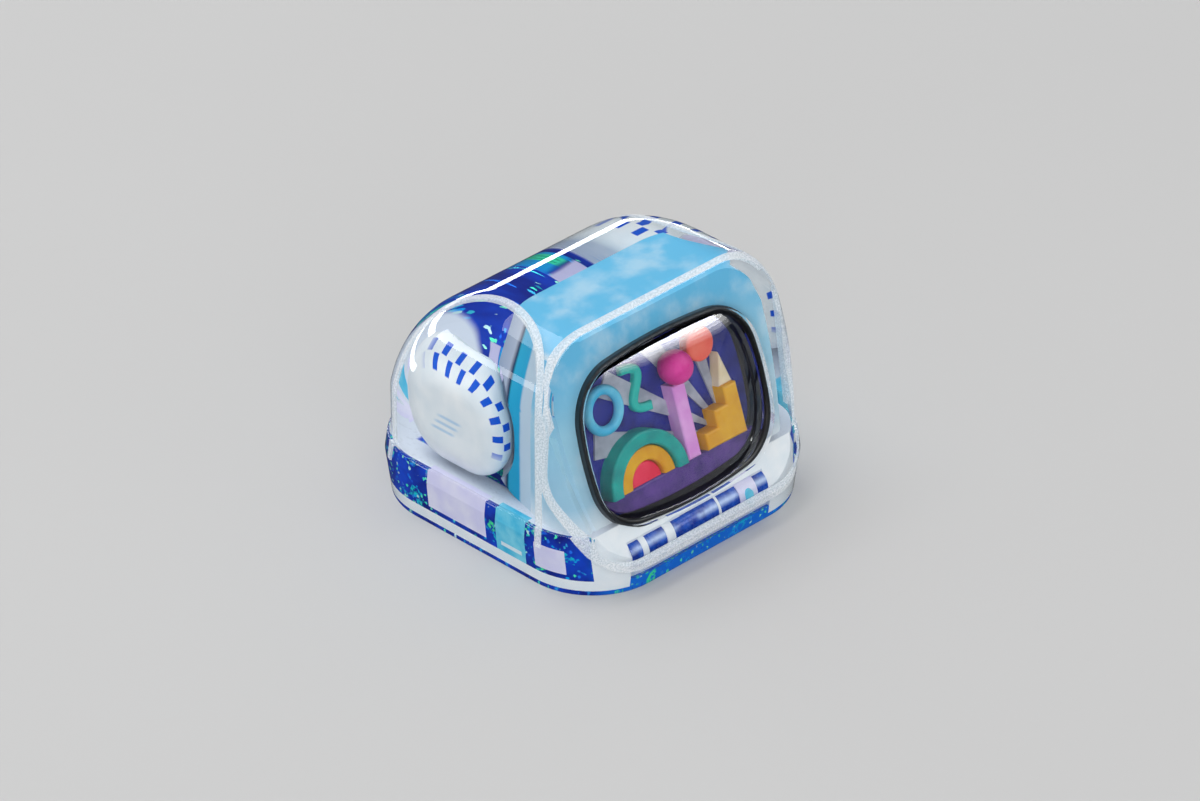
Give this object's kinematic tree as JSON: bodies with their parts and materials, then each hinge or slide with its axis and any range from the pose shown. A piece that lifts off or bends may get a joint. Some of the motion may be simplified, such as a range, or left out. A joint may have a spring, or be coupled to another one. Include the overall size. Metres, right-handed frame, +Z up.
{
  "type": "artisan keycap",
  "caption": "Clear resin keyboard keycap with a domed roof, a leaning front with a lens window over a small relief, coloured blocks in the skirt and a cross socket underneath.",
  "frame": {"origin": "middle of the bottom rim", "axes": "+Z up out of the keyboard, -Y towards the window's side, +X to the right seen from the window's side"},
  "size_m": [0.0184, 0.0183, 0.0142],
  "materials": {
    "clear_resin": "clear, polished",
    "frosted_white": "frosted, fine sparkle",
    "blue_glitter": "dark blue with glitter flakes",
    "pale_blue": "satin, whiter towards the foot",
    "milky_white": "milky",
    "pod_white": "satin white with blue dashes",
    "lavender": "satin",
    "cyan": "satin",
    "bar_blue": "satin",
    "ring_white": "satin",
    "black_rim": "gloss black",
    "navy_board": "satin",
    "lens_resin": "clear, polished",
    "purple": "satin",
    "teal": "satin",
    "mustard": "satin",
    "red": "satin",
    "lilac": "satin",
    "magenta": "satin",
    "cream": "satin",
    "coral": "satin",
    "silver_grey": "satin"
  },
  "bodies": {
    "root": {"clear_body": "clear_resin", "frosted_seam": "frosted_white", "glitter_base": "blue_glitter", "inner_shell": "pale_blue", "chin": "milky_white", "left_pod": "pod_white", "right_pod": "pod_white", "left_long_block": "lavender", "right_long_block": "lavender", "left_cyan_block": "cyan", "right_cyan_block": "cyan", "left_corner_block": "lavender", "right_corner_block": "lavender", "back_left_block": "lavender", "back_right_block": "lavender", "back_cyan_block": "cyan", "front_bar": "bar_blue", "bar_rings": "ring_white", "front_block": "lavender", "front_button": "cyan", "window_tub": "black_rim", "backdrop": "navy_board", "lens": "lens_resin", "ground_strip": "purple", "teal_arch": "teal", "mustard_arch": "mustard", "red_hill": "red", "lilac_post": "lilac", "magenta_ball": "magenta", "steps": "mustard", "cream_cone": "cream", "cyan_hoop": "cyan", "coral_disc": "coral", "teal_ribbon": "teal", "rays": "silver_grey"}
  },
  "joints": []
}
